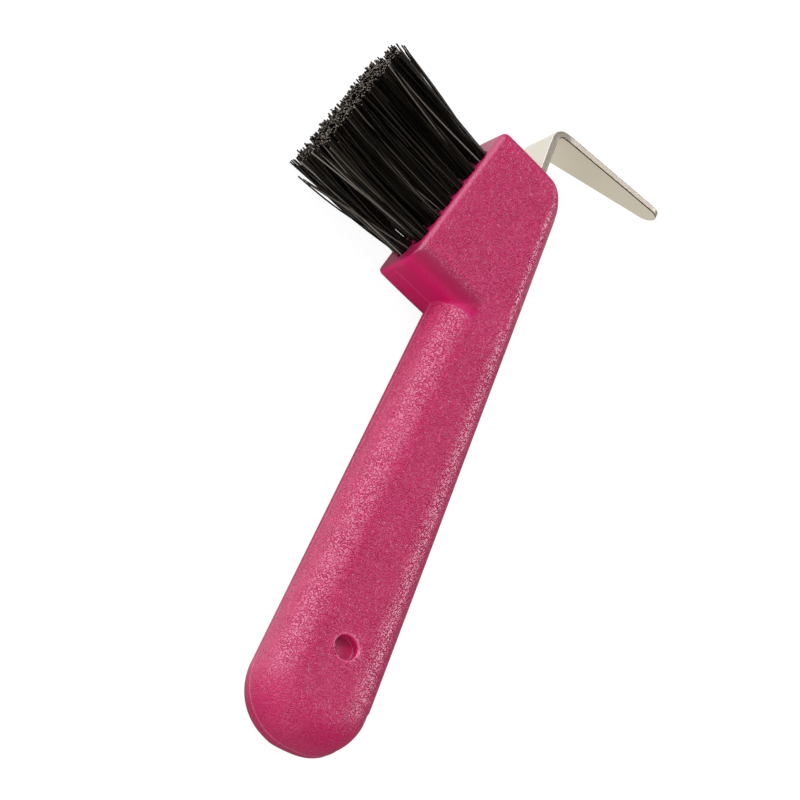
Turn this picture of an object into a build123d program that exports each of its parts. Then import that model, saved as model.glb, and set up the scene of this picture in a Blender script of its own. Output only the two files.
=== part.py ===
from build123d import *
import math
import os

# Hoof pick with a brush head.
# Frame: the tool lies on its side. +X runs along the handle towards the head, +Y points out of
# the handle on the brush side, +Z is up. The origin is the mouth centre of the lanyard recess in
# the lower side face, so Z = 0 is the plane that the tool rests on.
# Side-view dimensions are taken from the butt end (x) and from the straight back (y); at() moves
# them into the frame.

# ---------------------------------------------------------------- driving dimensions, mm
THICK = 19.5            # handle thickness, side face to side face
MID = THICK / 2

RECESS_FROM_BUTT = 25.3  # lanyard recess centre from the butt end
RECESS_FROM_BACK = 12.6  # lanyard recess centre from the straight back
RECESS_R = 3.1
RECESS_DEPTH = 2.4

# grip: straight back, front edge tapering towards the head, half-round butt
BUTT_R = 14.55          # radius of the butt in side view
GRIP_TAPER = 0.0944     # fall of the front edge per mm of length
GRIP_EDGE_R = 9.2       # edge rounding at the butt and along the front
BACK_EDGE_R = 4.2       # edge rounding of the back where the head starts
HEAD_START = 113.0      # where the grip passes into the head
RUN_IN_END = 134.0      # how far the grip core runs into the head
RUN_IN_OVERLAP = 0.5    # how far the run-in reaches back into the grip
RUN_IN_INSET = 0.05     # how far the run-in lies inside the grip surface

# head: wedge that carries the brush face, corner points as (x, y)
FACE_LOW = (121.6, 31.9)    # brush face, end nearer the grip
FACE_TOP = (163.3, 20.65)   # brush face, end at the pick
HEAD_TOP_BACK = (156.6, 0.0)
LOWER_FACE_EDGE_R = 5.0     # soft edges of the face that looks back at the grip
LOWER_FACE_SLOPE = 0.26     # how far it shifts towards the pick per mm of height
TOP_BACK_R = 4.0
TOP_FACE_R = 1.2

# tufts: three staggered rows
TUFT_ROW = 5.5          # middle row to side row
TUFT_ROWS = (           # name, place across the brush face, number of tufts
    ("upper", -TUFT_ROW, 6),
    ("middle", 0.0, 7),
    ("lower", TUFT_ROW, 6),
)
TUFT_PITCH = 5.2
TUFT_R = 2.2
TUFT_HOLE_DEPTH = 10.0
TUFT_FILL = 9.4         # how deep the folded bristle reaches
BRISTLE_OUT = 32.6      # free length
TUFT_TIP_R = 2.75
TUFT_FAN = 1.09         # spread of the tuft tips along the brush against their roots
BRISTLE_LEAN = 1.6      # lean of the tips over the free length, towards the pick if positive

# flat wire anchors
ANCHOR_T = 0.5          # along the brush
ANCHOR_LEN = 5.2        # across the brush
ANCHOR_H = 1.6
ANCHOR_FLOOR = 0.5      # gap below the anchor to the hole bottom

# pick: flat steel strip
STRIP_W = 14.5
STRIP_T = 1.7
STRIP_Y = 6.4           # lower surface of the shank above the back
STRIP_TOP = STRIP_Y + STRIP_T
TANG_START = 115.0
BEND_X = 172.0          # outer corner of the bend before rounding
BEND_INNER_R = 1.2
BLADE_LEAN = 6.4        # degrees past a right angle, towards the grip
BLADE_LEN = 34.8
BLADE_TAPER_DROP = 2.5  # start of the width taper below the shank
TIP_T = 1.4
TIP_W = 5.4
TIP_CORNER_R = TIP_W / 2 - 0.3
TIP_MARGIN = 0.2        # how far the plan reaches past the tip
KEY_HOLE_R = 2.5
KEY_HOLES_X = (122.5, 138.0)
CUT_MARGIN = 1.0        # overrun of the trimming and cutting shapes


def at(x, y):
    """From (distance from the butt, height above the back) to the frame."""
    return (x - RECESS_FROM_BUTT, y - RECESS_FROM_BACK)


def frame_x(x):
    return at(x, 0)[0]


def frame_y(y):
    return at(0, y)[1]


def front_edge(x):
    """Height of the grip's front edge above the back."""
    return 2 * BUTT_R - GRIP_TAPER * (x - BUTT_R)


# ---------------------------------------------------------------- brush face and tuft layout
face_mid = ((FACE_LOW[0] + FACE_TOP[0]) / 2, (FACE_LOW[1] + FACE_TOP[1]) / 2)
face_run = (FACE_TOP[0] - FACE_LOW[0], FACE_TOP[1] - FACE_LOW[1])
face_len = math.hypot(*face_run)
along = (face_run[0] / face_len, face_run[1] / face_len, 0)
outward = (-along[1], along[0], 0)
# local x runs towards the pick, local y points to -Z
face_plane = Plane(origin=(*at(*face_mid), MID), x_dir=along, z_dir=outward)

tufts = [   # name, place along the face, place across it
    (f"tuft_{row}_{i + 1}", (i - (count - 1) / 2) * TUFT_PITCH, across)
    for row, across, count in TUFT_ROWS
    for i in range(count)
]
tuft_spots = [(s, t) for _, s, t in tufts]


def make_anchor_wires():
    """One flat wire near the bottom of each tuft hole."""
    with BuildPart() as wires:
        with BuildSketch(face_plane.offset(-TUFT_HOLE_DEPTH + ANCHOR_FLOOR)):
            with Locations(*tuft_spots):
                Rectangle(ANCHOR_T, ANCHOR_LEN)
        extrude(amount=ANCHOR_H)
    wires.part.label = "anchor_wires"
    return wires.part


def make_pick_blade():
    """Bent steel strip: shank bedded in the head, blade bent down past the back."""
    lean = math.radians(BLADE_LEAN)
    blade_dir = (-math.sin(lean), -math.cos(lean))
    inward = (-math.cos(lean), math.sin(lean))   # from the blade's outer to its inner face
    corner_out = (BEND_X, STRIP_TOP)
    tip_out = (BEND_X + blade_dir[0] * BLADE_LEN, STRIP_TOP + blade_dir[1] * BLADE_LEN)
    tip_in = (tip_out[0] + inward[0] * TIP_T, tip_out[1] + inward[1] * TIP_T)
    corner_in = (BEND_X + inward[0] * STRIP_T + STRIP_T * blade_dir[0], STRIP_Y)
    bend_corners = (
        (corner_out, BEND_INNER_R + STRIP_T),
        (corner_in, BEND_INNER_R),
    )
    with BuildPart() as blade:
        with BuildSketch(Plane.XY.offset(MID - STRIP_W / 2)) as side_outline:
            with BuildLine():
                Polyline(
                    at(TANG_START, STRIP_Y),
                    at(TANG_START, STRIP_TOP),
                    at(*corner_out),
                    at(*tip_out),
                    at(*tip_in),
                    at(*corner_in),
                    close=True,
                )
            make_face()
            for corner, radius in bend_corners:
                fillet(
                    side_outline.vertices().sort_by_distance((*at(*corner), 0))[0],
                    radius=radius,
                )
        extrude(amount=STRIP_W)
        # outline seen along the handle: parallel shank, tapering blade, rounded tip
        with BuildSketch(Plane.YZ.offset(frame_x(TANG_START) - CUT_MARGIN)) as plan:
            y_tip = frame_y(tip_out[1]) - TIP_MARGIN
            y_root = frame_y(STRIP_Y - BLADE_TAPER_DROP)
            y_top = frame_y(STRIP_TOP + CUT_MARGIN)
            with BuildLine():
                Polyline(
                    (y_top, MID - STRIP_W / 2),
                    (y_root, MID - STRIP_W / 2),
                    (y_tip, MID - TIP_W / 2),
                    (y_tip, MID + TIP_W / 2),
                    (y_root, MID + STRIP_W / 2),
                    (y_top, MID + STRIP_W / 2),
                    close=True,
                )
            make_face()
            fillet(plan.vertices().group_by(Axis.X)[0], radius=TIP_CORNER_R)
        extrude(amount=BEND_X - TANG_START + 4 * CUT_MARGIN, mode=Mode.INTERSECT)
        # keying holes that the plastic flows through
        with BuildSketch(Plane.XZ.offset(-frame_y(STRIP_TOP + CUT_MARGIN))):
            with Locations(*[(frame_x(x), MID) for x in KEY_HOLES_X]):
                Circle(KEY_HOLE_R)
        extrude(amount=STRIP_T + 2 * CUT_MARGIN, mode=Mode.SUBTRACT)
    blade.part.label = "pick_blade"
    return blade.part


def side_edges_of_face_at(faces, x, y):
    """The two edges where the face standing at this point meets the side faces."""
    face = faces.sort_by_distance((*at(x, y), MID))[0]
    return [e for e in face.edges() if abs(abs(e.center().Z - MID) - MID) < 1e-3]


def make_head():
    """Head block with rounded back, rounded lower face and rounded top corners."""
    neck_y = front_edge(HEAD_START) - GRIP_EDGE_R
    neck_x = FACE_LOW[0] - LOWER_FACE_SLOPE * (FACE_LOW[1] - neck_y)
    back_mid = ((HEAD_START + HEAD_TOP_BACK[0]) / 2, 0)
    lower_face_mid = ((neck_x + FACE_LOW[0]) / 2, (neck_y + FACE_LOW[1]) / 2)
    with BuildPart() as head:
        with BuildSketch():
            with BuildLine():
                Polyline(
                    at(HEAD_START, 0),
                    at(HEAD_START, neck_y),
                    at(neck_x, neck_y),
                    at(*FACE_LOW),
                    at(*FACE_TOP),
                    at(*HEAD_TOP_BACK),
                    close=True,
                )
            make_face()
        extrude(amount=THICK)
        for spot, radius in ((back_mid, BACK_EDGE_R), (lower_face_mid, LOWER_FACE_EDGE_R)):
            fillet(side_edges_of_face_at(head.faces(), *spot), radius=radius)
        for corner, radius in ((HEAD_TOP_BACK, TOP_BACK_R), (FACE_TOP, TOP_FACE_R)):
            fillet(
                head.edges().filter_by(Axis.Z).sort_by_distance((*at(*corner), MID))[0],
                radius=radius,
            )
    return head.part


def make_core(stations, inset):
    """Round-edged core lofted through (x, back edge radius), set in from the grip surface."""
    with BuildPart() as core:
        for x, back_r in stations:
            width = front_edge(x) - 2 * inset
            with BuildSketch(Plane.YZ.offset(frame_x(x))) as section:
                with Locations((frame_y(width / 2 + inset), MID)):
                    Rectangle(width, THICK - 2 * inset)
                fillet(section.vertices().group_by(Axis.X)[0], radius=back_r)
                fillet(section.vertices().group_by(Axis.X)[-1], radius=GRIP_EDGE_R)
        loft(ruled=True)
    return core.part


def make_butt():
    """Half-round butt: the back half of the end section turned about its middle."""
    with BuildPart() as butt:
        with BuildSketch(Plane.YZ.offset(frame_x(BUTT_R))) as section:
            with Locations((frame_y(BUTT_R), MID)):
                Rectangle(2 * BUTT_R, THICK)
            fillet(section.vertices(), radius=GRIP_EDGE_R)
            with Locations((frame_y(BUTT_R) + BUTT_R, MID)):
                Rectangle(2 * BUTT_R, 2 * THICK, mode=Mode.SUBTRACT)
        revolve(axis=Axis((*at(BUTT_R, BUTT_R), 0), (0, 0, 1)), revolution_arc=-180)
    return butt.part


def make_handle_body(anchor_wires, pick_blade):
    """Plastic handle with its recesses, tuft holes and beds for the steel parts."""
    grip = make_core(((BUTT_R, GRIP_EDGE_R), (HEAD_START, BACK_EDGE_R)), inset=0.0)
    run_in = make_core(
        ((HEAD_START - RUN_IN_OVERLAP, BACK_EDGE_R), (RUN_IN_END, BACK_EDGE_R)),
        inset=RUN_IN_INSET,
    )
    butt = make_butt()
    head = make_head()
    with BuildPart() as body:
        for piece in (grip, butt, run_in, head):
            add(piece)
        # lanyard recesses, one in each side face
        for level, depth in ((0, RECESS_DEPTH), (THICK, -RECESS_DEPTH)):
            with BuildSketch(Plane.XY.offset(level)):
                Circle(RECESS_R)
            extrude(amount=depth, mode=Mode.SUBTRACT)
        # tuft holes
        with BuildSketch(face_plane):
            with Locations(*tuft_spots):
                Circle(TUFT_R)
        extrude(amount=-TUFT_HOLE_DEPTH, mode=Mode.SUBTRACT)
        # the steel parts are bedded in the plastic
        add(anchor_wires, mode=Mode.SUBTRACT)
        add(pick_blade, mode=Mode.SUBTRACT)
    body.part.label = "handle_body"
    return body.part


def make_tuft(name, s, t, anchor_wires):
    """Tuft rooted at (s, t) on the brush face: straight in its hole, flaring outside."""
    with BuildPart() as tuft:
        with BuildSketch(face_plane.offset(-TUFT_FILL)):
            with Locations((s, t)):
                Circle(TUFT_R)
        extrude(amount=TUFT_FILL)
        with BuildSketch(face_plane):
            with Locations((s, t)):
                Circle(TUFT_R)
        with BuildSketch(face_plane.offset(BRISTLE_OUT)):
            with Locations((s * TUFT_FAN + BRISTLE_LEAN, t)):
                Circle(TUFT_TIP_R)
        loft()
        add(anchor_wires, mode=Mode.SUBTRACT)
    tuft.part.label = name
    return tuft.part


# ---------------------------------------------------------------- build and write
anchor_wires = make_anchor_wires()
pick_blade = make_pick_blade()
handle_body = make_handle_body(anchor_wires, pick_blade)
tuft_parts = [make_tuft(name, s, t, anchor_wires) for name, s, t in tufts]

os.makedirs("parts", exist_ok=True)
for piece in (handle_body, pick_blade, anchor_wires, *tuft_parts):
    export_step(piece, f"parts/{piece.label}.step")
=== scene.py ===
# Brush and pick in one tool: a moulded handle whose head carries nineteen bristle tufts, and a
# bent steel strip standing out of the head's end. It lies on one side face.
# Design space is in mm: x runs from the butt along the straight back, y rises from the back
# towards the brush, and z runs up from the mid plane. The axes are parallel to the frame's.
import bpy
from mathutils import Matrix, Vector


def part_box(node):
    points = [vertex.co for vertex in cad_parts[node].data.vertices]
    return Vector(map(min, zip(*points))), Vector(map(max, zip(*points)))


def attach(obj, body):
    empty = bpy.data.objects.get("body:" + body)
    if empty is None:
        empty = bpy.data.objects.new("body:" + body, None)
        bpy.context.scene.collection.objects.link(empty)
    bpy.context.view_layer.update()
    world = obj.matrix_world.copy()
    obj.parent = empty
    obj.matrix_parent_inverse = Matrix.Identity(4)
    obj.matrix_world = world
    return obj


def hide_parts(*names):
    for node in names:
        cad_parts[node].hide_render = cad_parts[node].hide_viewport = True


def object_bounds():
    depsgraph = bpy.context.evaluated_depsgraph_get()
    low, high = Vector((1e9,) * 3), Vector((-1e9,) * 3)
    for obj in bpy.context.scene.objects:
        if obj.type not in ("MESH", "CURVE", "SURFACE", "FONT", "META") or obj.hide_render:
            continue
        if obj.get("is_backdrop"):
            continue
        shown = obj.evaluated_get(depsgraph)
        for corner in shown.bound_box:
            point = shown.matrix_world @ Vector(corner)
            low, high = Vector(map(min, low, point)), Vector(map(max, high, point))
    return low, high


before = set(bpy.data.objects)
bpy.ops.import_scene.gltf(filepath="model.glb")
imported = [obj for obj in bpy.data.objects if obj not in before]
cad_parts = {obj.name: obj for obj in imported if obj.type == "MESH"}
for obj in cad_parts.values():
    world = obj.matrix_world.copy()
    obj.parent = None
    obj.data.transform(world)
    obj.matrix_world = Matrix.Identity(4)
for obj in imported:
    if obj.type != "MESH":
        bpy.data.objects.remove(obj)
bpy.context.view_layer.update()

import math

import bmesh
import bpy
import numpy as np
from mathutils import Matrix, Vector

MM = 0.001

# ------------------------------------------------------------------ driving dimensions, mm
body_lo, body_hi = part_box("handle_body")
ORIGIN_X = -body_lo.x / MM                       # frame origin, which is also the recess centre
ORIGIN_Y = -body_lo.y / MM
HALF = (body_hi.z - body_lo.z) / MM / 2          # half the handle's thickness
MID_Z = (body_hi.z + body_lo.z) / MM / 2

BUTT_R = 14.55
TAPER = 0.0944                                   # height lost per mm along the grip
HEAD_X = 117.0                                   # where the grip gives way to the head
FRONT_EDGE_R = 9.3
# corners of the head in plan
FACE_START = np.array([121.6, 31.9])
FACE_END = np.array([163.3, 20.65])
BACK_END = np.array([156.6, 0.0])
SHOULDER_FOOT = np.array([118.6, 20.36])
IN_HEAD = (140, 10)                              # any point inside the head
# brush face: its middle, the direction along it and its outward normal
FACE_MID = (FACE_START + FACE_END) / 2
ALONG = (FACE_END - FACE_START) / np.linalg.norm(FACE_END - FACE_START)
NORMAL = np.array([-ALONG[1], ALONG[0]])

RECESS_R, RECESS_DEPTH = 3.1, 2.4

TUFT_PITCH, ROW_PITCH = 5.2, 5.5
HOLE_R, HOLE_DEPTH = 2.2, 10.0
# node, place along the brush face, z
TUFTS = [(f"tuft_{row}_{i + 1}", (i - (count - 1) / 2) * TUFT_PITCH, z)
         for row, z, count in (("upper", ROW_PITCH, 6), ("middle", 0.0, 7),
                               ("lower", -ROW_PITCH, 6))
         for i in range(count)]

# steel strip, from the tang buried in the head
STRIP_START = 115.0
STRIP_TOP = 8.1
STRIP_THICK = 1.7
STRIP_HALF = 7.25
KEY_HOLES = (122.5, 138.0)                       # x of the tang's keying holes
KEY_R = 2.5
SLOT_GAP = 0.03


# ------------------------------------------------------------------ mesh helpers
def to_frame(points):
    """Design space in mm to the frame in metres."""
    return (np.asarray(points, float) + np.array([-ORIGIN_X, -ORIGIN_Y, MID_Z])) * MM


def add_object(name, data):
    ob = bpy.data.objects.new(name, data)
    bpy.context.scene.collection.objects.link(ob)
    return ob


def shade_smooth(mesh):
    mesh.polygons.foreach_set("use_smooth", np.ones(len(mesh.polygons), bool))


def mesh_object(name, points, faces):
    mesh = bpy.data.meshes.new(name)
    mesh.from_pydata([tuple(v) for v in to_frame(points)], [],
                     [tuple(int(i) for i in f) for f in faces])
    mesh.validate(clean_customdata=False)
    shade_smooth(mesh)
    return add_object(name, mesh)


def mesh_from(bm, name):
    mesh = bpy.data.meshes.new(name)
    bm.to_mesh(mesh)
    bm.free()
    return mesh


def recalc_normals(ob):
    bm = bmesh.new()
    bm.from_mesh(ob.data)
    bmesh.ops.recalc_face_normals(bm, faces=bm.faces)
    bm.to_mesh(ob.data)
    bm.free()


def set_float(ob, name, values):
    attribute = ob.data.attributes.new(name, "FLOAT", "POINT")
    attribute.data.foreach_set("value", np.asarray(values, np.float32))


def ring_quads(start, count):
    """Quads from the ring of vertices at `start` to the ring after it."""
    quads = []
    for j in range(count):
        a, b = start + j, start + (j + 1) % count
        quads.append((a, b, b + count, a + count))
    return quads


# ------------------------------------------------------------------ field helpers
def lerp(a, b, t):
    return a + (b - a) * t


def smoothstep(a, b, x):
    t = np.clip((x - a) / (b - a), 0, 1)
    return t * t * (3 - 2 * t)


def fade_out(a, b, x):
    return 1 - smoothstep(a, b, x)


def rounded(a, b, r):
    """Intersection of two half spaces with an edge rounded to radius r."""
    a_in, b_in = a + r, b + r
    return (np.minimum(np.maximum(a_in, b_in), 0)
            + np.hypot(np.maximum(a_in, 0), np.maximum(b_in, 0)) - r)


def smooth_union(a, b, width):
    h = np.clip(0.5 + 0.5 * (a - b) / width, 0, 1)
    return a * (1 - h) + b * h - width * h * (1 - h)


def line_distance(x, y, p, q):
    """Signed distance to the line p-q, negative on the head's side."""
    dx, dy = q[0] - p[0], q[1] - p[1]
    normal = np.array([-dy, dx]) / np.linalg.norm([dx, dy])
    if (IN_HEAD[0] - p[0]) * normal[0] + (IN_HEAD[1] - p[1]) * normal[1] > 0:
        normal = -normal
    return (x - p[0]) * normal[0] + (y - p[1]) * normal[1]


def head_sides(x, y):
    """Distances to the shoulder facing the grip, the brush face and the end."""
    return (line_distance(x, y, FACE_START, SHOULDER_FOOT),
            line_distance(x, y, FACE_START, FACE_END),
            line_distance(x, y, FACE_END, BACK_END))


def grip_height(x):
    return 2 * BUTT_R - TAPER * np.maximum(x - BUTT_R, 0)


# ------------------------------------------------------------------ handle as a distance field
def grip_field(x, y, side, back):
    """Tapering bar; `side` and `back` are distances outside the side faces and the back."""
    slope = math.atan(TAPER)
    # the front line is tangent to the butt circle
    front = (x - BUTT_R) * math.sin(slope) + (y - BUTT_R) * math.cos(slope) - BUTT_R
    # the butt is fuller at the back corner than a half circle
    back_half = smoothstep(3.0, -5.0, y - BUTT_R)
    reach = np.maximum(BUTT_R - x, 0) * (0.985 + 0.01 * back_half)
    power = 2.05 + 0.5 * back_half
    butt = (reach ** power + np.abs(y - BUTT_R) ** power) ** (1 / power) - BUTT_R
    plan = np.where(x < BUTT_R, butt, np.maximum(front, back))
    # the back edge is a flattened oval, wide towards the side face; front and butt are round
    front_share = smoothstep(4.0, grip_height(x) - FRONT_EDGE_R, y)
    front_share = np.maximum(front_share, fade_out(-2.0, 12.0, x))
    t = np.clip((x - BUTT_R) / (HEAD_X - BUTT_R), 0, 1)
    plan_r = lerp(lerp(8.6, 5.6, t), FRONT_EDGE_R, front_share)
    side_r = lerp(lerp(4.5, 3.3, t), FRONT_EDGE_R, front_share)
    grip = rounded(plan / plan_r, side / side_r, 1.0) * side_r
    # the grip stops inside the head
    return np.maximum(grip, x - 150.0)


def head_field(side, back, shoulder, face, end):
    """Wedge that carries the brush."""
    # the side face falls off a little towards the brush
    fallen = side + 0.35 * np.clip(1 + face / 12.0, 0, 1) ** 2
    plan = rounded(rounded(end, back, 5.6), face, 1.7)
    # side edge radius, blended from the nearest plan edges
    edges = ((face, 1.5), (end, 1.3), (back, 4.0))
    weights = [np.exp(np.clip(distance, -40, 5) / 1.6) for distance, _ in edges]
    edge_r = sum(w * r for w, (_, r) in zip(weights, edges)) / sum(weights)
    corner_r = 0.9 * smoothstep(0.0, 3.0, -side) + 1e-3
    return rounded(rounded(shoulder, fallen, 5.0), rounded(plan, fallen, edge_r), corner_r)


def tuft_holes(x, y, z, face):
    along = (x - FACE_MID[0]) * ALONG[0] + (y - FACE_MID[1]) * ALONG[1]
    holes = np.full_like(x, 1e3)
    for _, tuft_s, tuft_z in TUFTS:
        holes = np.minimum(holes, np.hypot(along - tuft_s, z - tuft_z) - HOLE_R)
    return np.maximum(holes, -face - HOLE_DEPTH)


def tang_slot(x, y, z):
    """Slot that the tang fills, with plastic left standing through its keying holes."""
    slot = np.maximum(STRIP_TOP - STRIP_THICK - SLOT_GAP - y, y - STRIP_TOP - SLOT_GAP)
    slot = np.maximum(slot, np.abs(z) - STRIP_HALF - SLOT_GAP)
    slot = np.maximum(slot, STRIP_START - 0.05 - x)
    for key_x in KEY_HOLES:
        slot = np.maximum(slot, KEY_R - 0.05 - np.hypot(x - key_x, z))
    return slot


def handle_field(x, y, z):
    side = np.abs(z) - HALF
    back = -y - 0.25 * fade_out(20.0, HEAD_X, x)
    shoulder, face, end = head_sides(x, y)
    # small fillet where the shoulder meets the rounded front of the grip
    fillet = (0.3 * smoothstep(0.3, 2.5, -side) * smoothstep(6.0, 9.0, y)
              * smoothstep(-6.0, -4.5, shoulder) + 1e-4)
    d = smooth_union(head_field(side, back, shoulder, face, end),
                     grip_field(x, y, side, back), fillet)
    # mould parting line: a fine raised line at mid thickness, not on the brush face
    d = d - 0.10 * smoothstep(-0.6, -2.5, face) * np.exp(-(z / 0.16) ** 2)
    # lanyard recess with a low rim, both sides
    radius = np.hypot(x - ORIGIN_X, y - ORIGIN_Y)
    rim = (np.hypot((radius - RECESS_R - 0.32) / 0.36, side / 0.14) - 1.0) * 0.14
    d = smooth_union(rim, d, 0.12)
    d = np.maximum(d, -rounded(radius - RECESS_R, -RECESS_DEPTH - side, 0.08))
    d = np.maximum(d, -tuft_holes(x, y, z, face))
    return np.maximum(d, -tang_slot(x, y, z))


# ------------------------------------------------------------------ field to mesh
def surface_nets(field, xs, ys, zs):
    """One vertex per grid cell that the surface crosses, one quad per crossed grid edge."""
    axes = [xs, ys, zs]
    values = field(*np.meshgrid(xs, ys, zs, indexing="ij"))
    inside = values < 0
    nx, ny, nz = values.shape
    corners = [(i, j, k) for i in (0, 1) for j in (0, 1) for k in (0, 1)]
    total = sum(inside[i:nx - 1 + i, j:ny - 1 + j, k:nz - 1 + k].astype(np.int8)
                for i, j, k in corners)
    active = (total > 0) & (total < 8)
    cells = np.argwhere(active)
    index = -np.ones(active.shape, np.int64)
    index[active] = np.arange(len(cells))
    # each vertex is the mean of the crossings on its cell's edges
    point_sum = np.zeros((len(cells), 3))
    crossings = np.zeros(len(cells))
    for corner in corners:
        for axis in range(3):
            if corner[axis]:
                continue
            other = list(corner)
            other[axis] = 1
            start, stop = cells + np.array(corner), cells + np.array(other)
            v0, v1 = values[tuple(start.T)], values[tuple(stop.T)]
            cross = (v0 < 0) != (v1 < 0)
            t = np.where(cross, v0 / np.where(cross, v0 - v1, 1), 0)
            p0 = np.stack([axes[m][start[:, m]] for m in range(3)], 1)
            p1 = np.stack([axes[m][stop[:, m]] for m in range(3)], 1)
            point_sum += np.where(cross[:, None], p0 + (p1 - p0) * t[:, None], 0)
            crossings += cross
    quads = []
    for axis in range(3):
        others = [m for m in range(3) if m != axis]
        first, second = [slice(1, -1)] * 3, [slice(1, -1)] * 3
        first[axis] = slice(0, -1)
        second[axis] = slice(1, None)
        near, far = inside[tuple(first)], inside[tuple(second)]
        base = np.argwhere(near != far)
        outward = near[tuple(base.T)]
        base[:, others] += 1
        quad = []
        for shift in ((0, 0), (-1, 0), (-1, -1), (0, -1)):
            cell = base.copy()
            cell[:, others] += np.array(shift)
            quad.append(index[tuple(cell.T)])
        quad = np.stack(quad, 1)
        keep = outward if axis != 1 else ~outward
        quad[~keep] = quad[~keep][:, ::-1]
        quads.append(quad)
    return point_sum / crossings[:, None], np.concatenate(quads)


def gradient(field, points, step=0.02):
    slope = np.zeros_like(points)
    for m in range(3):
        d = np.zeros(3)
        d[m] = step
        slope[:, m] = field(*(points + d).T) - field(*(points - d).T)
    return slope / (2 * step)


def project(field, points, cap, steps=4):
    """Newton steps onto the surface, none longer than `cap`."""
    for _ in range(steps):
        slope = gradient(field, points)
        slope_sq = np.maximum((slope * slope).sum(1), 0.05)
        move = -(field(*points.T) / slope_sq)[:, None] * slope
        length = np.linalg.norm(move, axis=1)
        points = points + move * np.minimum(1, cap / np.maximum(length, 1e-9))[:, None]
    return points


def grid_axis(lo, hi, step, fine=None):
    """Even grid from lo to hi; `fine` is (start, stop, step) of a denser stretch."""
    grid = list(np.linspace(lo, hi, int(math.ceil((hi - lo) / step)) + 1))
    if fine:
        f_lo, f_hi, f_step = fine
        grid = [v for v in grid if v < f_lo - f_step * 0.5 or v > f_hi + f_step * 0.5]
        grid += list(np.arange(f_lo, f_hi + 1e-9, f_step))
    return np.array(sorted(grid))


# ------------------------------------------------------------------ handle masks
def handle_masks(x, y, z):
    """Per-vertex masks that the plastic reads, by attribute name."""
    shoulder, face, end = head_sides(x, y)
    face_gap, end_gap = np.abs(face), np.abs(end)
    from_recess = np.hypot(x - ORIGIN_X, y - ORIGIN_Y)
    on_head = smoothstep(HEAD_X, 121.0, x)
    # the shoulder and its rounding, not the grip's own front beside it
    on_shoulder = (smoothstep(-9.0, -7.0, y - grip_height(x)) * fade_out(0.15, 0.5, shoulder)
                   * smoothstep(113.0, 115.0, x))

    # the grain fades near the head's edges, round the recess and at the butt
    grain = 1 - 0.85 * on_shoulder * fade_out(2.6, 6.2, -shoulder)
    grain *= 1 - 0.75 * on_head * fade_out(0.5, 5.0, end_gap)
    grain *= 1 - 0.85 * on_head * fade_out(0.2, 2.5, face_gap)
    grain *= 0.25 + 0.75 * smoothstep(3.2, 5.6, from_recess)
    grain *= 0.70 + 0.30 * smoothstep(4.0, 26.0, x)

    sheen = 1 + 0.22 * on_head * np.exp(-face_gap / 5.0)
    sheen *= 1 - 0.85 * on_shoulder * fade_out(1.2, 5.0, -shoulder)

    # painted shade: a dark band behind the shoulder, and a painted shadow on the recess wall on
    # its +x +y side
    band = on_shoulder * smoothstep(0.3, 2.5, -shoulder) * fade_out(3.8, 6.5, -shoulder)
    across = 0.877 * (x - ORIGIN_X) + 0.480 * (y - ORIGIN_Y)
    at_recess = np.abs(z) > HALF - RECESS_DEPTH - 0.4
    in_recess = at_recess * (from_recess < RECESS_R - 0.05)
    shade = np.maximum(band, in_recess * smoothstep(0.1, 1.3, across) * 0.9)

    # inside of the tuft holes: painted shade there, and no parting highlight
    in_hole = ((face < -0.8) & (face > -HOLE_DEPTH - 0.6) & (np.abs(z) < 7.9)
               & (shoulder < -1.5) & (end < -1.0))
    # painted highlight along the parting ridge, kept off the tuft holes and the recess and
    # weaker at the shoulder
    parting = (np.exp(-(z / 0.17) ** 2) * smoothstep(0.6, 1.6, face_gap)
               * (from_recess > 5))
    parting = (np.where(in_hole, 0.0, parting)
               * (1 - 0.6 * on_shoulder * fade_out(0.3, 1.0, -shoulder)))
    # painted highlight: a thin pale line on the recess rim
    rim = (np.abs(z) > HALF - 0.25) * np.exp(-((from_recess - RECESS_R - 0.26) / 0.22) ** 2)
    # the recess mask below carries painted light that lifts the recess floor and wall
    return {"grain": grain, "sheen": sheen, "shade": shade, "inner": in_hole,
            "parting": parting, "recess_painted_light": at_recess * (from_recess < RECESS_R + 0.02), "rim": rim}


def build_handle():
    cell = 0.5
    top = HALF + 0.6
    # finer cells at mid thickness resolve the parting line
    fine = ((-0.36, 0.36, 0.12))
    points, quads = surface_nets(handle_field, grid_axis(-0.7, 163.9, cell),
                                 grid_axis(-0.7, 32.7, cell), grid_axis(-top, top, cell, fine))
    points = project(handle_field, points, cap=0.25)
    ob = mesh_object("handle_shell", points, quads)
    for name, values in handle_masks(*points.T).items():
        set_float(ob, name, values)
    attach(ob, "root")
    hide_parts("handle_body")
    return ob


handle = build_handle()

# ------------------------------------------------------------------ pick: bent strip, soft edges
TIP_THICK = 1.4
BEND_X = 172.0                         # where the outer faces of tang and blade would meet
LEAN = math.radians(6.4)               # blade's lean back towards the handle
BLADE_LEN = 34.8
BEND_OUTER_R = 1.2 + STRIP_THICK
TAPER_START = 4.6                      # along the blade
TIP_R, TIP_HALF = 2.4, 2.7
END_ROUND = 0.18
BLADE_DIR = np.array([-math.sin(LEAN), -math.cos(LEAN)])


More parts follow.
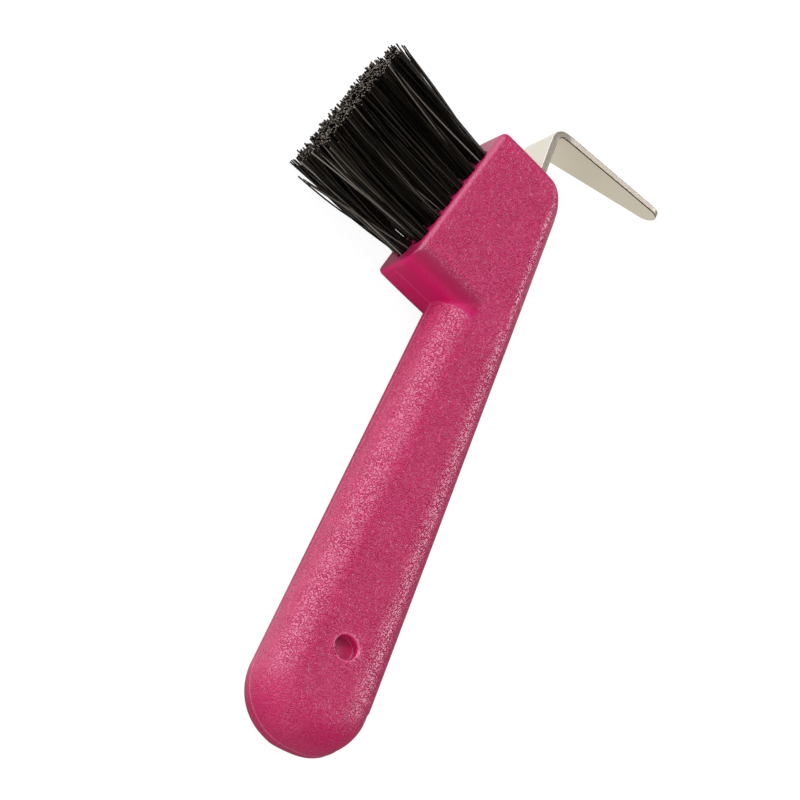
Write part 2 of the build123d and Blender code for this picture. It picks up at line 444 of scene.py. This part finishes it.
def strip_stations():
    """Outer point, inward unit vector, thickness and half width, from tang to tip."""
    turn = math.pi / 2 + LEAN
    bend_len = BEND_OUTER_R * math.tan(turn / 2)
    bend_x, bend_y = BEND_X - bend_len, STRIP_TOP - BEND_OUTER_R
    stations = [((x, STRIP_TOP), (0.0, -1.0), STRIP_THICK, STRIP_HALF)
                for x in np.linspace(STRIP_START, bend_x - 0.01, 26)]
    for a in np.linspace(0, turn, 15):
        outer = (bend_x + BEND_OUTER_R * math.sin(a), bend_y + BEND_OUTER_R * math.cos(a))
        stations.append((outer, (-math.sin(a), -math.cos(a)), STRIP_THICK, STRIP_HALF))

    inward = (-math.cos(LEAN), math.sin(LEAN))
    tip_start = BLADE_LEN - TIP_R
    places = list(np.linspace(bend_len + 0.6, tip_start, 34))
    places += [tip_start + TIP_R * math.sin(a) for a in np.linspace(0.12, 1.52, 13)]
    for s in places:
        half = lerp(STRIP_HALF, TIP_HALF,
                    np.clip((s - TAPER_START) / (BLADE_LEN - TAPER_START), 0, 1))
        past = s - tip_start
        if past > 0:
            half = half - TIP_R + math.sqrt(max(TIP_R ** 2 - past * past, 0))
        thick = lerp(STRIP_THICK, TIP_THICK,
                     np.clip((s - bend_len) / (BLADE_LEN - bend_len), 0, 1))
        outer = np.array([BEND_X, STRIP_TOP]) + BLADE_DIR * s
        stations.append((tuple(outer), inward, thick, half))
    return stations


def inset(station, direction):
    """Slightly smaller station just past an end, which rounds the end over."""
    outer, inward, thick, half = station
    moved = tuple(outer[m] + direction[m] * END_ROUND + inward[m] * END_ROUND for m in (0, 1))
    return moved, inward, thick - 2 * END_ROUND, max(half - END_ROUND, 0.25)


def strip_ring(outer, inward, thick, half, edge_r=0.26, steps=4):
    """Rounded rectangle: points, inner-edge mask for the painted dark reflection, and side-face
    mask.
    """
    edge_r = min(edge_r, thick / 2 - 0.02, half - 0.02)
    points, inner_edge, sheared = [], [], []
    # corner on the inner face?, corner at +z?, start angle in half turns
    for at_inner, at_plus, start in ((1, 1, 0.0), (0, 1, 0.5), (0, 0, 1.0), (1, 0, 1.5)):
        centre_u = thick - edge_r if at_inner else edge_r
        centre_z = half - edge_r if at_plus else -half + edge_r
        for i in range(steps + 1):
            a = (start + 0.5 * i / steps) * math.pi
            u = centre_u + edge_r * math.cos(a)
            z = centre_z + edge_r * math.sin(a)
            points.append((outer[0] + inward[0] * u, outer[1] + inward[1] * u, z))
            inner_edge.append(1.0 if at_inner and 0 < i < steps else 0.0)
            sheared.append(1.0 if abs(z) > half - edge_r * 0.6 else 0.0)
    return points, inner_edge, sheared


def cut_key_hole(ob, key_x):
    bm = bmesh.new()
    bmesh.ops.create_cone(bm, cap_ends=True, segments=48, radius1=KEY_R * MM,
                          radius2=KEY_R * MM, depth=8 * MM)
    tool = add_object("tool", mesh_from(bm, "tool"))
    place = Vector(to_frame((key_x, STRIP_TOP - STRIP_THICK / 2, 0)))
    tool.matrix_world = Matrix.Translation(place) @ Matrix.Rotation(math.pi / 2, 4, "X")
    cut = ob.modifiers.new("hole", "BOOLEAN")
    cut.operation = "DIFFERENCE"
    cut.object = tool
    cut.solver = "EXACT"
    bpy.context.view_layer.update()
    depsgraph = bpy.context.evaluated_depsgraph_get()
    cut_mesh = bpy.data.meshes.new_from_object(ob.evaluated_get(depsgraph))
    ob.modifiers.clear()
    ob.data = cut_mesh
    bpy.data.objects.remove(tool)


def build_pick():
    stations = strip_stations()
    stations = ([inset(stations[0], (-1.0, 0.0))] + stations
                + [inset(stations[-1], BLADE_DIR)])
    rings, inner_edge, sheared = zip(*(strip_ring(*station) for station in stations))
    count = len(rings[0])
    last = (len(rings) - 1) * count
    faces = [quad for start in range(0, last, count) for quad in ring_quads(start, count)]
    faces.append(tuple(range(count - 1, -1, -1)))
    faces.append(tuple(range(last, last + count)))
    ob = mesh_object("pick_strip", np.concatenate(rings), faces)
    set_float(ob, "inner_edge", np.ravel(inner_edge))
    set_float(ob, "sheared", np.ravel(sheared))
    recalc_normals(ob)
    for key_x in KEY_HOLES:
        cut_key_hole(ob, key_x)
    shade_smooth(ob.data)
    weighted = ob.modifiers.new("wn", "WEIGHTED_NORMAL")
    weighted.keep_sharp = True
    weighted.weight = 50
    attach(ob, "root")
    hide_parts("pick_blade")
    return ob


pick = build_pick()

# ------------------------------------------------------------------ bristles
rng = np.random.default_rng(680)
FILAMENTS = 62        # per tuft
FILAMENT_R = 0.205
FILAMENT_SIDES = 6
FILAMENT_STEPS = 7
ROOT_DEPTH = 6.0
ROOT_SPREAD, EXIT_SPREAD, TIP_SPREAD = 1.92, 1.96, 2.75
FAN, TIP_LEAN = 1.09, 2.0              # tips spread along the face, and all shift along it
GOLDEN_ANGLE = math.pi * (3 - math.sqrt(5))
ALONG_3D, NORMAL_3D = np.append(ALONG, 0.0), np.append(NORMAL, 0.0)


def face_point(s, z, height):
    """Point at s along the brush face and a height above it."""
    return np.append(FACE_MID + ALONG * s + NORMAL * height, z)


def filament_path(i, tuft_s, tuft_z):
    tip_s = tuft_s * FAN + TIP_LEAN
    # the filaments are spread over the round hole in a jittered spiral
    angle = i * GOLDEN_ANGLE + rng.normal(0, 0.25)
    radius = min(math.sqrt((i + 0.5) / FILAMENTS) + rng.normal(0, 0.03), 1.0)
    disc_s, disc_z = radius * math.cos(angle), radius * math.sin(angle)
    root = face_point(tuft_s + disc_s * ROOT_SPREAD, tuft_z + disc_z * ROOT_SPREAD, -ROOT_DEPTH)
    leave = face_point(tuft_s + disc_s * EXIT_SPREAD, tuft_z + disc_z * EXIT_SPREAD, 0.0)
    jitter = rng.normal(0, 0.95, 2)
    # a few strays lean further
    if rng.random() < 0.035:
        jitter = jitter * 2.2
    # a few filaments are shorter
    height = (32.4 - 0.023 * tip_s + rng.normal(0, 0.20)
              - (rng.random() < 0.06) * rng.uniform(0.5, 2.2))
    tip = face_point(tip_s + disc_s * TIP_SPREAD + jitter[0],
                     tuft_z + disc_z * TIP_SPREAD + jitter[1], height)
    bend = rng.normal(0, 0.42 if tuft_s < -9 else 0.26, 2)
    # the tufts next to the grip belly outwards
    bend[0] -= 0.6 * min(max((6.0 - tuft_s) / 21.6, 0.0), 1.0)
    loose = FILAMENTS - i
    if abs(tuft_s) > 12.5 and loose <= 2 and (tuft_z <= 0 if tuft_s < 0 else tuft_z >= 0):
        # a few hairs stand off the end tufts
        stand_off = -5.0 - 0.7 * loose if tuft_s < 0 else 3.0 + 0.4 * loose
        tip = face_point(tip_s + stand_off, tuft_z + 1.5 * loose - 2.2, 30.6 - 0.8 * loose)
    lead = tip - leave
    # the belly: part of the sideways lean, more in the lower row, and the filament's own bend
    belly = ((lead - NORMAL_3D * (lead @ NORMAL_3D)) * (0.12 if tuft_z < 0 else -0.03)
             + ALONG_3D * bend[0] + np.array([0, 0, bend[1]]))
    path = [root]
    for k in range(FILAMENT_STEPS + 1):
        t = k / FILAMENT_STEPS
        path.append(leave + lead * t + belly * math.sin(math.pi * t))
    return np.array(path)


def tuft_mesh(name, tuft_s, tuft_z):
    verts, faces, along, shade = [], [], [], []
    count = FILAMENT_SIDES
    for i in range(FILAMENTS):
        path = filament_path(i, tuft_s, tuft_z)
        tangents = np.gradient(path, axis=0)
        tangents /= np.linalg.norm(tangents, axis=1)[:, None]
        radius = FILAMENT_R * rng.uniform(0.88, 1.1)
        start = len(verts)
        colour = rng.random()
        twist = rng.uniform(0, math.pi)
        for k, (point, tangent) in enumerate(zip(path, tangents)):
            across = np.cross(tangent, np.array([0.31, 0.17, 0.93]))
            across /= np.linalg.norm(across)
            square = np.cross(tangent, across)
            for j in range(count):
                a = twist + 2 * math.pi * j / count
                verts.append(point + (across * math.cos(a) + square * math.sin(a)) * radius)
            along += [0.0 if k == 0 else (k - 1) / FILAMENT_STEPS] * count
        # the cut end has its own ring, so that the cut face keeps its own shade
        end = start + (len(path) - 1) * count
        verts += [verts[end + j] + tangents[-1] * 0.02 for j in range(count)]
        along += [2.0] * count
        shade += [colour] * (len(verts) - start)
        for ring in range(start, end, count):
            faces += ring_quads(ring, count)
        faces.append(tuple(range(start + count - 1, start - 1, -1)))
        faces += ring_quads(end, count)
        faces.append(tuple(range(end + count, end + 2 * count)))
    ob = mesh_object(name, np.array(verts), faces)
    set_float(ob, "along", along)
    set_float(ob, "rnd", shade)
    recalc_normals(ob)
    # cut ends are flat
    for face in ob.data.polygons:
        if face.loop_total > 4:
            face.use_smooth = False
    return ob


bristles = []
for node, tuft_s, tuft_z in TUFTS:
    tuft = tuft_mesh(node.replace("tuft_", "bristles_"), tuft_s, tuft_z)
    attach(tuft, "root")
    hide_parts(node)
    bristles.append(tuft)


# ------------------------------------------------------------------ material helpers
def srgb(*channels):
    """Linear colour from 0-255 sRGB."""
    def linear(c):
        c /= 255
        return c / 12.92 if c <= 0.04045 else ((c + 0.055) / 1.055) ** 2.4
    return (*map(linear, channels), 1.0)


class Nodes:
    """Short calls for building a node tree; a value may be a number, a colour or a socket."""

    def __init__(self, owner):
        owner.use_nodes = True
        self.owner = owner
        self.tree = owner.node_tree

    def feed(self, socket, value):
        if isinstance(value, bpy.types.NodeSocket):
            self.tree.links.new(value, socket)
        else:
            socket.default_value = value

    def add(self, kind, **values):
        node = self.tree.nodes.new("ShaderNode" + kind)
        for name, value in values.items():
            if name in node.inputs:
                self.feed(node.inputs[name], value)
            else:
                setattr(node, name, value)
        return node

    def surface(self, values):
        for name, value in values.items():
            self.feed(self.tree.nodes["Principled BSDF"].inputs[name], value)

    def math(self, operation, *values, clamp=False):
        node = self.add("Math", operation=operation, use_clamp=clamp)
        for socket, value in zip(node.inputs, values):
            self.feed(socket, value)
        return node.outputs[0]

    def plus(self, a, b):
        return self.math("ADD", a, b)

    def minus(self, a, b):
        return self.math("SUBTRACT", a, b)

    def times(self, a, b):
        return self.math("MULTIPLY", a, b)

    def linear(self, value, gain, base):
        return self.plus(self.times(value, gain), base)

    def mix(self, factor, a, b):
        node = self.add("Mix", data_type="RGBA")
        for index, value in ((0, factor), (6, a), (7, b)):
            self.feed(node.inputs[index], value)
        return node.outputs[2]

    def tint(self, colour, mask, amount, to):
        return self.mix(self.times(mask, amount), colour, to)

    def ramp(self, factor, stops):
        """Stops are (position, grey or colour)."""
        node = self.add("ValToRGB")
        elements = node.color_ramp.elements
        while len(elements) < len(stops):
            elements.new(0.5)
        for element, (position, value) in zip(elements, stops):
            element.position = position
            element.color = value if isinstance(value, tuple) else (value, value, value, 1)
        self.feed(node.inputs[0], factor)
        return node.outputs[0]

    def fade(self, value, over, to, kind="SMOOTHSTEP"):
        """Map the range `over` to the range `to`."""
        node = self.add("MapRange", interpolation_type=kind)
        for name, number in zip(("From Min", "From Max", "To Min", "To Max"), over + to):
            node.inputs[name].default_value = number
        self.feed(node.inputs["Value"], value)
        return node.outputs["Result"]

    def coords(self, scale=(1, 1, 1)):
        source = self.add("TexCoord").outputs["Object"]
        return self.add("Mapping", Vector=source, Scale=scale).outputs["Vector"]

    def noise(self, vector, scale, detail, roughness=0.5, output="Fac"):
        return self.add("TexNoise", Vector=vector, Scale=scale, Detail=detail,
                        Roughness=roughness).outputs[output]

    def attribute(self, name):
        return self.add("Attribute", attribute_name=name).outputs["Fac"]

    def bump(self, height, strength, distance):
        return self.add("Bump", Height=height, Strength=strength,
                        Distance=distance).outputs["Normal"]


# ------------------------------------------------------------------ materials
def handle_plastic():
    m = Nodes(bpy.data.materials.new("handle_plastic"))
    co = m.coords()
    # leather-like grain: worm-shaped furrows about a millimetre apart, run through by a warp
    warp = m.add("VectorMath", operation="MULTIPLY_ADD")
    warp_noise = m.noise(co, scale=750.0, detail=1.0, output="Color")
    for socket, value in zip(warp.inputs, (warp_noise, (0.00055, 0.00055, 0.00055), co)):
        m.feed(socket, value)
    worms = m.noise(warp.outputs[0], scale=1450.0, detail=0.6, roughness=0.4)

    def lines_at(level, stops):
        distance = m.math("ABSOLUTE", m.minus(worms, level))
        return m.ramp(m.times(distance, 10.0), stops)

    furrow = lines_at(0.5, [(0.0, 1.0), (0.35, 0.75), (1.0, 0.0)])
    fine = m.noise(co, scale=1900.0, detail=1.0)
    cloud = m.noise(co, scale=90.0, detail=2.0)
    patch = m.ramp(m.noise(co, scale=230.0, detail=2.0, roughness=0.55),
                   [(0.38, 0.62), (0.60, 1.0)])
    grain = m.times(patch, m.attribute("grain"))
    cut = m.times(furrow, grain)
    height = m.minus(m.times(m.times(fine, 0.5), grain), cut)

    colour = m.ramp(cloud, [(0.25, srgb(165, 10, 72)), (0.75, srgb(171, 15, 79))])
    # painted shade: the furrows are painted darker, standing in for shade held in the grooves
    colour = m.tint(colour, cut, amount=0.15, to=srgb(104, 6, 40))
    # painted highlight: light pink lines along the crests of the grain
    crest_painted_highlight = lines_at(0.63, [(0.0, 1.0), (0.45, 0.0)])
    colour = m.tint(colour, m.times(crest_painted_highlight, grain), amount=0.15, to=srgb(236, 122, 166))
    # tints from the masks; the first is a painted highlight on the parting ridge
    for mask, amount, to in (("parting", 0.45, srgb(226, 120, 158)),
                             # painted light: lifts the recess floor and wall
                             ("recess_painted_light", 0.22, srgb(216, 36, 108)),
                             # painted highlight on the recess rim
                             ("rim", 0.32, srgb(240, 140, 178)),
                             # painted shade inside the tuft holes
                             ("inner", 0.6, srgb(90, 15, 45)),
                             # painted shade behind the shoulder and painted shadow on the recess
                             # wall
                             ("shade", 0.68, srgb(128, 8, 54))):
        colour = m.tint(colour, m.attribute(mask), amount, to)
    gloss = m.times(m.attribute("sheen"), 0.96)
    # the furrows shine less
    furrow_gloss = m.minus(1.0, m.times(cut, 0.6))
    m.surface({"Base Color": colour,
               "Roughness": m.linear(cloud, gain=0.08, base=0.33),
               "Specular IOR Level": m.times(gloss, furrow_gloss),
               "Normal": m.bump(height, strength=1.0, distance=0.000112),
               "IOR": 1.5})
    return m.owner


def pick_steel():
    """Satin nickel-plated steel."""
    m = Nodes(bpy.data.materials.new("pick_steel"))
    co = m.coords()
    cloud = m.noise(co, scale=60.0, detail=4.0, roughness=0.6)
    brushed = m.noise(m.coords((120.0, 120.0, 2600.0)), scale=1.0, detail=3.0, roughness=0.65)
    fine = m.noise(co, scale=700.0, detail=2.0)
    sheared = m.attribute("sheared")
    colour = m.ramp(cloud, [(0.3, srgb(247, 241, 222)), (0.7, srgb(253, 248, 231))])
    # painted dark reflection along the rounding of the inner edges
    colour = m.tint(colour, m.attribute("inner_edge"), amount=0.95, to=srgb(92, 86, 62))
    colour = m.tint(colour, sheared, amount=0.75, to=srgb(158, 153, 130))
    rough = m.linear(cloud, gain=0.16, base=0.25)
    rough = m.plus(rough, m.times(sheared, 0.14))
    rough = m.plus(rough, m.times(brushed, 0.06))
    height = m.plus(m.times(brushed, 0.5), m.times(fine, 0.5))
    m.surface({"Base Color": colour, "Metallic": 1.0, "Roughness": rough,
               "Normal": m.bump(height, strength=0.18, distance=0.00005)})
    return m.owner


def anchor_steel():
    m = Nodes(bpy.data.materials.new("anchor_steel"))
    streaks = m.noise(m.coords((400.0, 400.0, 60.0)), scale=1.0, detail=3.0)
    m.surface({"Base Color": m.ramp(streaks, [(0.3, srgb(150, 148, 142)),
                                              (0.7, srgb(190, 188, 180))]),
               "Metallic": 1.0,
               "Roughness": m.linear(streaks, gain=0.2, base=0.3)})
    return m.owner


def bristle_nylon():
    """Near-black filaments, a few of them painted paler as painted highlight streaks, with light
    cut ends.
    """
    m = Nodes(bpy.data.materials.new("bristle_nylon"))
    fine = m.noise(m.coords(), scale=500.0, detail=2.0)
    along, shade = m.attribute("along"), m.attribute("rnd")
    # the few paler filaments at the top of the ramp are painted highlight streaks
    body = m.ramp(shade, [(0.0, (0.0012, 0.0009, 0.0006, 1)), (0.6, (0.003, 0.0022, 0.0014, 1)),
                          (0.82, (0.012, 0.009, 0.0065, 1)), (0.92, (0.045, 0.037, 0.028, 1)),
                          (1.0, (0.17, 0.15, 0.125, 1))])
    cut_end = m.ramp(shade, [(0.0, srgb(62, 53, 41)), (0.6, srgb(115, 103, 82)),
                             (1.0, srgb(178, 164, 139))])
    # `along` is 2 only on the cut ends
    at_cut = m.math("MULTIPLY", m.minus(along, 1.0), 1.2, clamp=True)
    m.surface({"Base Color": m.mix(at_cut, body, cut_end),
               "Roughness": m.linear(fine, gain=0.14, base=0.13),
               "IOR": 1.45,
               "Specular Tint": (1.0, 0.91, 0.76, 1),
               "Specular IOR Level": 0.75})
    return m.owner


def floor_pale():
    """Floor that the camera sees evenly pale and that mirrors as a few soft bright cards."""
    m = Nodes(bpy.data.materials.new("floor_pale"))
    rays = m.add("LightPath").outputs
    camera_ray, glossy_ray = rays["Is Camera Ray"], rays["Is Glossy Ray"]
    base = m.mix(camera_ray, (0.42, 0.42, 0.418, 1), (0.14, 0.14, 0.14, 1))
    base = m.mix(glossy_ray, base, (0.15, 0.15, 0.148, 1))
    position = m.add("NewGeometry").outputs["Position"]
    place = m.add("SeparateXYZ", Vector=position).outputs
    # card under the head's end, brighter towards +y
    end_card = m.times(m.fade(place["X"], over=(0.10, 0.135), to=(0.03, 0.44)),
                       m.fade(place["Y"], over=(-0.022, -0.004), to=(1.0, 1.42)))
    # card on the +y side: full beside the grip, weak under the brush and gone at the butt
    side_card = m.times(m.fade(place["Y"], over=(0.010, 0.026), to=(0.0, 0.95)),
                        m.times(m.fade(place["X"], over=(0.080, 0.102), to=(1.0, 0.36)),
                                m.fade(place["X"], over=(-0.030, -0.002), to=(0.0, 1.0))))
    warm = m.fade(place["Y"], over=(-0.016, -0.004), to=(1.0, 0.0), kind="LINEAR")
    card_tint = m.mix(warm, (1, 1, 1, 1), (1.0, 0.96, 0.86, 1))
    seen = m.times(camera_ray, 0.90)
    mirrored = m.times(glossy_ray, m.math("MAXIMUM", end_card, side_card))
    m.surface({"Base Color": base, "Roughness": 0.7, "Specular IOR Level": 0.1,
               "Emission Color": m.mix(glossy_ray, (1, 1, 1, 1), card_tint),
               "Emission Strength": m.plus(seen, mirrored)})
    return m.owner


handle.data.materials.append(handle_plastic())
pick.data.materials.clear()
pick.data.materials.append(pick_steel())
wire = anchor_steel()
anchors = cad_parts["anchor_wires"]
if len(anchors.material_slots) == 0:
    anchors.data.materials.append(wire)
else:
    for material_slot in anchors.material_slots:
        material_slot.material = wire
nylon = bristle_nylon()
for tuft in bristles:
    tuft.data.materials.append(nylon)

# ------------------------------------------------------------------ floor
bpy.context.view_layer.update()
floor_z = min(float(corner[2]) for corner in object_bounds()) - 0.00002
floor_bm = bmesh.new()
bmesh.ops.create_grid(floor_bm, x_segments=8, y_segments=8, size=3.0)
floor = add_object("floor", mesh_from(floor_bm, "floor"))
floor.location.z = floor_z
floor.data.materials.append(floor_pale())
floor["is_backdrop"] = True

# ------------------------------------------------------------------ world
AMBIENT = 0.3


def studio_world():
    """Even backdrop; mirrored rays see it darker on some sides."""
    w = Nodes(bpy.data.worlds.new("studio"))
    background = w.tree.nodes["Background"].inputs
    background[0].default_value = (1, 1, 1, 1)
    background[1].default_value = AMBIENT
    rays = w.add("LightPath").outputs
    # seen directly, the backdrop is as pale as the floor
    strength = w.math("MULTIPLY_ADD", rays["Is Camera Ray"], 0.75, AMBIENT)
    generated = w.add("TexCoord").outputs["Generated"]
    direction = w.add("SeparateXYZ", Vector=generated).outputs
    dim_x = w.fade(direction["X"], over=(-0.65, 0.45), to=(0.27, 0.09))
    # the side that the straight back mirrors is darker still
    dim_y = w.fade(direction["Y"], over=(-0.80, -0.35), to=(0.20, 0.0))
    dim = w.math("MINIMUM", w.plus(dim_x, dim_y), 0.29)
    w.feed(background[1], w.minus(strength, w.times(rays["Is Glossy Ray"], dim)))
    return w.owner


scene = bpy.context.scene
scene.world = studio_world()
scene.view_settings.view_transform = "Standard"
scene.view_settings.look = "None"
scene.view_settings.exposure = 0.0
scene.view_settings.gamma = 1.0

# ------------------------------------------------------------------ lights
CENTRE = Vector(to_frame((93.8, 17.55, 0.0)))
HEAD_SHOULDER = Vector(to_frame((120.2, 26.0, 0.0)))
COOL = (1.0, 0.955, 1.14)
PINKISH = (1.0, 0.94, 1.06)
WHITE = (1.0, 1.0, 1.0)


def place_light(light, direction, distance, target, glossy):
    """Aim the light at the target from `distance` away; without glossy it only lights."""
    towards = Vector(direction).normalized()
    ob = add_object(light.name, light)
    ob.location = target + towards * distance
    ob.rotation_euler = (-towards).to_track_quat("-Z", "Y").to_euler()
    ob.visible_glossy = glossy


# name, direction, distance (m), diameter (m), watts, colour, leaves highlights
for name, direction, distance, size, watts, colour, glossy in (
        ("key", (0.45, 0.50, 0.74), 1.1, 0.8, 4.2, COOL, True),
        ("left_soft", (0.38, 0.88, 0.29), 1.1, 0.9, 6.3, COOL, True),
        ("rim", (0.41, -0.75, 0.52), 1.1, 0.55, 4.7, PINKISH, True),
        ("fill", (-0.42, 0.28, 0.86), 1.2, 0.9, 4.8, WHITE, False),
        ("fill_butt", (-0.93, 0.15, 0.33), 1.2, 0.9, 6.8, WHITE, False),
        ("low_left", (-0.10, 0.98, 0.08), 1.2, 0.9, 6.5, WHITE, False),
        ("low_back", (0.05, -0.97, 0.22), 1.2, 0.9, 1.8, WHITE, False)):
    lamp = bpy.data.lights.new(name, "AREA")
    lamp.shape = "DISK"
    lamp.size = size
    lamp.energy = watts
    lamp.color = colour
    place_light(lamp, direction, distance, CENTRE, glossy)

# soft spot on the shoulder that looks back at the grip
spot = bpy.data.lights.new("low_face", "SPOT")
spot.energy = 0.12
spot.spot_size = math.radians(11.0)
spot.spot_blend = 1.0
spot.shadow_soft_size = 0.03
place_light(spot, direction=(-0.72, 0.68, 0.12), distance=0.16, target=HEAD_SHOULDER,
            glossy=False)

# ------------------------------------------------------------------ camera
CAMERA_DISTANCE = 5.0
# the view's centre lies this far left of and below CENTRE, in mm
SHIFT_LEFT, SHIFT_DOWN = 0.823529, 0.917647

view = Vector((-0.408, 0.337, 0.85)).normalized()          # from the object to the camera
right = Vector((0.321, -0.8166, 0.480))
right = (right - view * right.dot(view)).normalized()
up = view.cross(right)
aim = CENTRE - right * (SHIFT_LEFT * MM) - up * (SHIFT_DOWN * MM)
camera = bpy.data.cameras.new("camera")
camera.sensor_width = 36.0
camera.lens = 956.25
camera.clip_start = 0.01
camera.clip_end = 20.0
camera_ob = add_object("camera", camera)
rotation = Matrix((right, up, view)).transposed()
camera_ob.matrix_world = (Matrix.Translation(aim + view * CAMERA_DISTANCE)
                          @ rotation.to_4x4())
scene.camera = camera_ob
